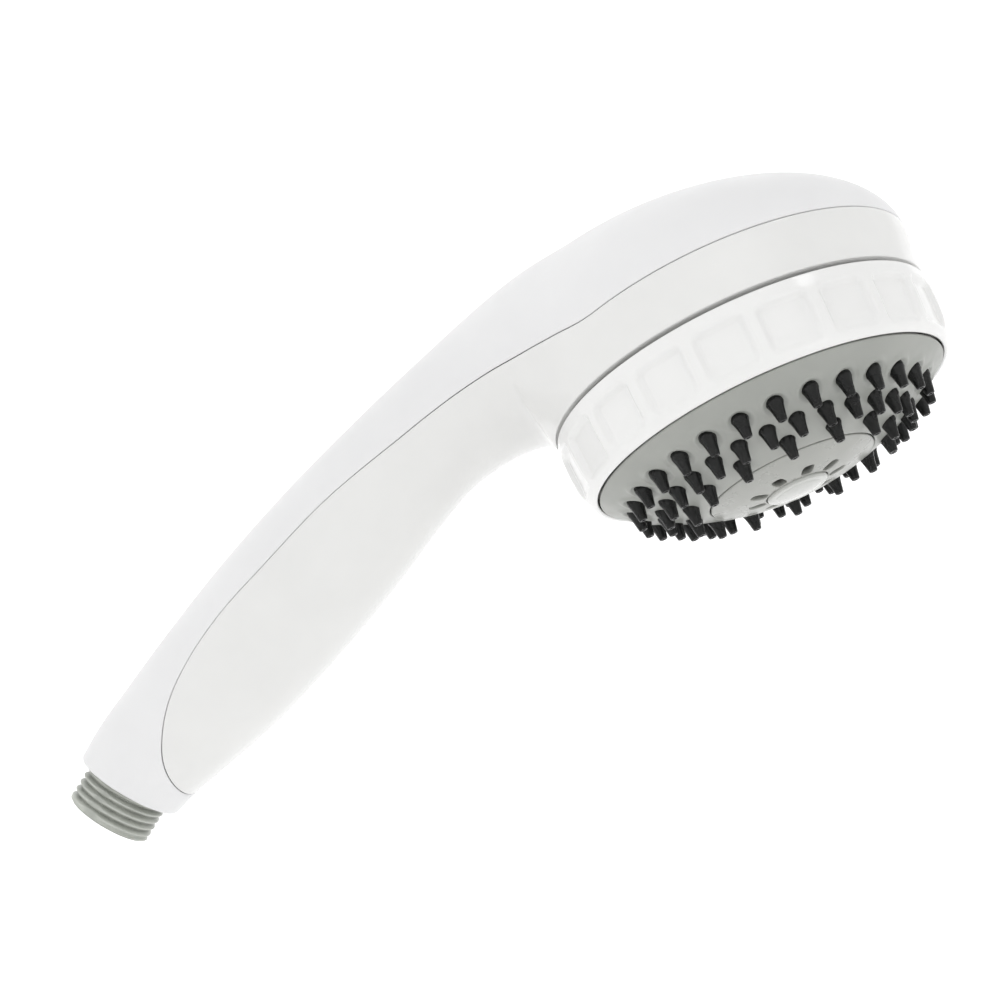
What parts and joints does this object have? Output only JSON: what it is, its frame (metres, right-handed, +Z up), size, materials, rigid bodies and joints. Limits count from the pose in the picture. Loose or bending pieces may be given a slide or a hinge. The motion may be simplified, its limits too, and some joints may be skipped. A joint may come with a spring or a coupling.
{
  "type": "handheld shower head",
  "caption": "Curved handheld shower head with a threaded inlet, a turning ring that selects the spray, rubber nozzles on a domed face and a massage centre.",
  "frame": {"origin": "centre of the inlet's end face, on the axis of its G 1/2 thread, where the hose washer seats", "axes": "+Z up along the inlet thread into the handle, so the hose leaves along -Z; +X towards the side that sprays; the handle and head are symmetric about the XZ plane"},
  "size_m": [0.1291, 0.093, 0.2155],
  "materials": {
    "shell_back": "satin white moulded ABS",
    "shell_front": "glossy white moulded ABS",
    "ring_white": "glossy white moulded ABS",
    "face_grey": "satin grey moulded POM",
    "disc_grey": "satin pale grey moulded POM",
    "cap_pale": "polished pale grey",
    "rubber_black": "black silicone rubber",
    "inlet_grey": "satin grey-green moulded nylon",
    "inner_plastic": "natural POM",
    "wheel_plastic": "blue-grey POM",
    "steel": "stainless steel",
    "tube_plastic": "natural ABS"
  },
  "bodies": {
    "casing": {"back_shell": "shell_back", "front_shell": "shell_front", "valve_body": "inner_plastic", "waterway_tube": "tube_plastic", "inlet_connector": "inlet_grey", "inlet_strainer": "steel", "flow_regulator": "inner_plastic", "tail_clip": "steel", "inlet_o_rings": "rubber_black", "socket_o_rings": "rubber_black", "hub_o_ring": "rubber_black", "hub_screw": "steel", "thrust_washer": "inner_plastic", "valve_screws": "steel", "detent_spring": "steel", "port_seal_spring": "steel"},
    "spray_head": {"selector_ring": "ring_white", "face_plate": "face_grey", "nozzle_mat": "rubber_black", "centre_disc": "disc_grey", "centre_cap": "cap_pale", "distributor_disc": "inner_plastic", "spray_chamber": "inner_plastic", "chamber_screws": "steel", "jet_plate": "inner_plastic"},
    "wheel": {"massage_wheel": "wheel_plastic"},
    "detent": {"detent_pin": "steel"},
    "seal": {"port_seal": "rubber_black"}
  },
  "joints": [
    {"name": "selector_turn", "type": "hinge", "parent": "casing", "child": "spray_head", "pos_m": [0.0885, 0, 0.1585], "axis": [0.829, 0, -0.5592], "continuous": true},
    {"name": "wheel_spin", "type": "hinge", "parent": "spray_head", "child": "wheel", "pos_m": [0.09596, 0, 0.15347], "axis": [0.829, 0, -0.5592], "continuous": true},
    {"name": "detent_slide", "type": "slide", "parent": "casing", "child": "detent", "axis": [-0.829, 0, 0.5592], "range_m": [0, 0.001], "stiffness_N_per_m": 400, "springref_m": -0.003, "deforming": ["detent_spring"]},
    {"name": "seal_slide", "type": "slide", "parent": "casing", "child": "seal", "axis": [-0.829, 0, 0.5592], "range_m": [0, 0.0006], "stiffness_N_per_m": 600, "springref_m": -0.003, "deforming": ["port_seal_spring"]}
  ]
}
